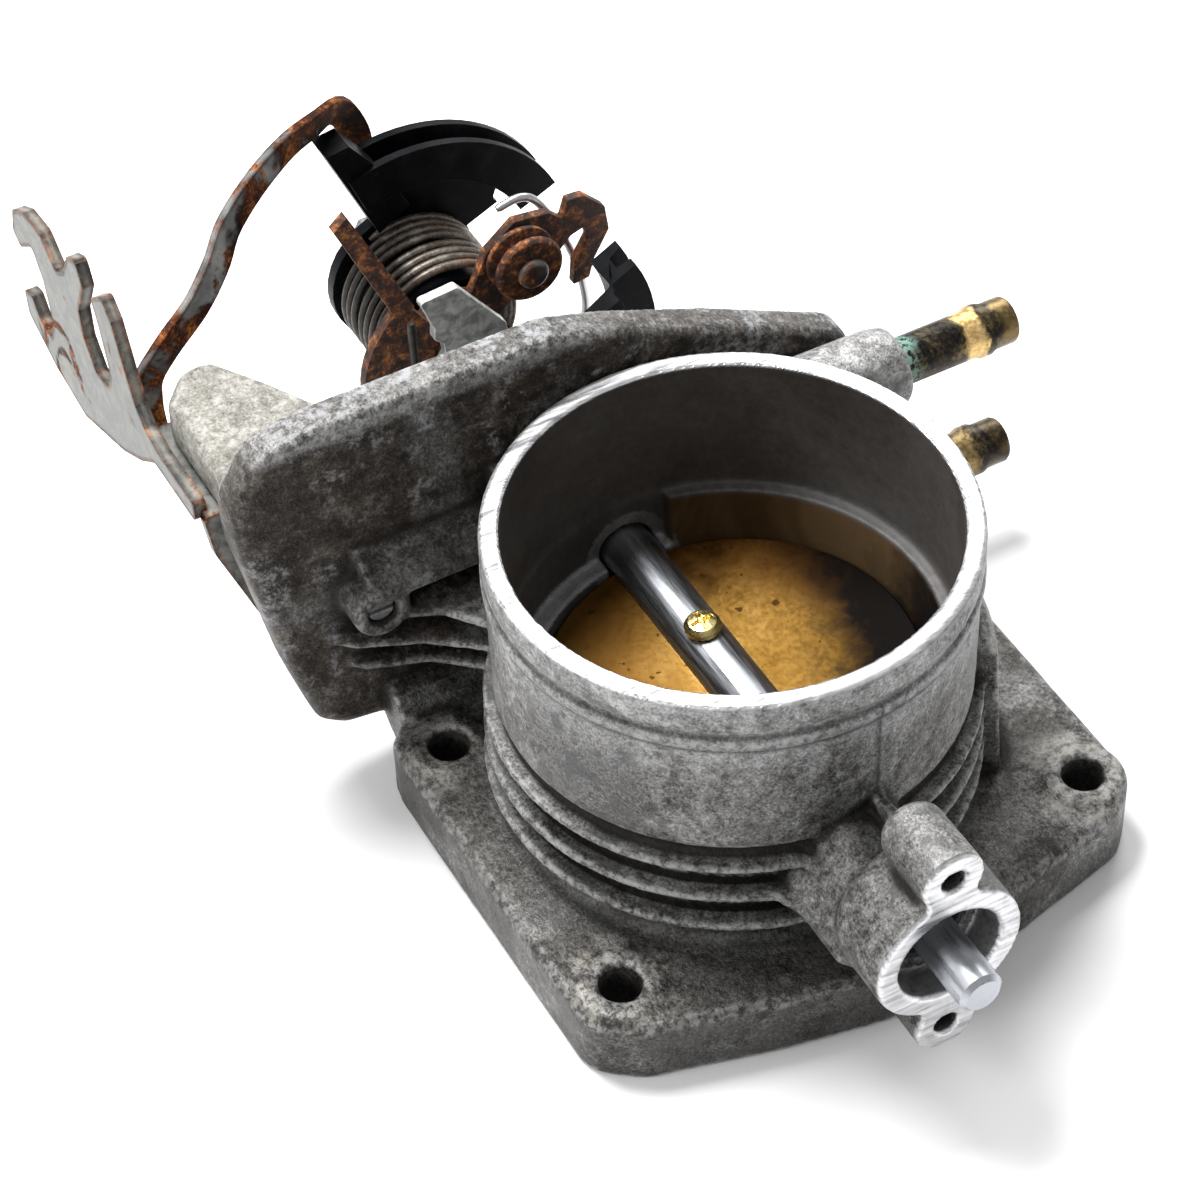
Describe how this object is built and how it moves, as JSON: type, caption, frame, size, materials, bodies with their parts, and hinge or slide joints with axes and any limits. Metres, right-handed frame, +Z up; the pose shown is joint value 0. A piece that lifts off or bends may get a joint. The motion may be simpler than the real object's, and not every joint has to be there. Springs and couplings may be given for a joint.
{
  "type": "throttle body",
  "caption": "Cable-operated throttle body: alloy bore with a pivoting plate, shaft, pulleys and return springs on one side, coolant pipes and a flanged base.",
  "frame": {"origin": "centre of the bounding box on the gasket plane of the base flange, z = 0", "axes": "+X along the throttle shaft towards the sensor end, +Y towards the coolant pipes, +Z up the bore towards the inlet rim"},
  "size_m": [0.25, 0.1766, 0.101],
  "materials": {
    "cast_alloy": "raw die-cast aluminium, grey and oxidised, with machined rim and sensor face",
    "bright_steel": "ground bright steel",
    "plate_brass": "brass disc with brown varnish towards its edge",
    "yellow_zinc": "yellow zinc plating",
    "zinc_steel": "white zinc plating, stained with rust",
    "rusted_steel": "pressed steel, rusted orange-brown",
    "spring_steel": "dull spring wire",
    "black_nylon": "satin black moulded nylon",
    "seal_rubber": "black lip seal",
    "pipe_brass": "brass tube with a dark patina"
  },
  "bodies": {
    "housing": {"body_casting": "cast_alloy", "bearing_sensor_end": "bright_steel", "seal_sensor_end": "seal_rubber", "bearing_lever_end": "bright_steel", "seal_lever_end": "seal_rubber", "return_spring_rear": "spring_steel", "cable_bracket": "zinc_steel", "cable_guard_strap": "zinc_steel", "bracket_screw_1": "zinc_steel", "bracket_screw_2": "zinc_steel", "coolant_pipe_upper": "pipe_brass", "coolant_pipe_lower": "pipe_brass", "bypass_screw": "zinc_steel"},
    "throttle": {"throttle_shaft": "bright_steel", "throttle_plate": "plate_brass", "plate_screw_1": "yellow_zinc", "plate_screw_2": "yellow_zinc", "shaft_lever": "zinc_steel", "shaft_washer": "zinc_steel", "shaft_nut": "zinc_steel"},
    "pulley": {"cable_pulley": "black_nylon"},
    "cruise": {"second_pulley": "black_nylon"},
    "accelerator": {"accelerator_lever": "rusted_steel", "return_spring_front": "spring_steel"},
    "roller_arm": {"roller_lever": "rusted_steel", "roller_pin": "bright_steel", "link_wire": "zinc_steel"},
    "roller": {"guide_roller": "rusted_steel"}
  },
  "joints": [
    {"name": "throttle_hinge", "type": "hinge", "parent": "housing", "child": "throttle", "pos_m": [0, -0.0047, 0.0383], "axis": [1, 0, 0], "range_deg": [0, 80], "stiffness_Nm_per_rad": 0.2, "springref_deg": -57.3},
    {"name": "pulley_hinge", "type": "hinge", "parent": "housing", "child": "pulley", "pos_m": [0, -0.0047, 0.0383], "axis": [1, 0, 0], "range_deg": [0, 80]},
    {"name": "cruise_hinge", "type": "hinge", "parent": "housing", "child": "cruise", "pos_m": [0, -0.0047, 0.0383], "axis": [1, 0, 0], "range_deg": [0, 80]},
    {"name": "accelerator_hinge", "type": "hinge", "parent": "housing", "child": "accelerator", "pos_m": [0, -0.0047, 0.0383], "axis": [1, 0, 0], "range_deg": [0, 80]},
    {"name": "roller_arm_hinge", "type": "hinge", "parent": "housing", "child": "roller_arm", "pos_m": [0, -0.0047, 0.0383], "axis": [1, 0, 0], "range_deg": [0, 80]},
    {"name": "roller_spin", "type": "hinge", "parent": "roller_arm", "child": "roller", "pos_m": [-0.08055, 0.0113, 0.0545], "axis": [1, 0, 0], "continuous": true}
  ],
  "couplings": [
    {"joint": "pulley_hinge", "follows": "throttle_hinge", "ratio": 1},
    {"joint": "cruise_hinge", "follows": "throttle_hinge", "ratio": 1},
    {"joint": "accelerator_hinge", "follows": "throttle_hinge", "ratio": 1},
    {"joint": "roller_arm_hinge", "follows": "throttle_hinge", "ratio": 1}
  ]
}
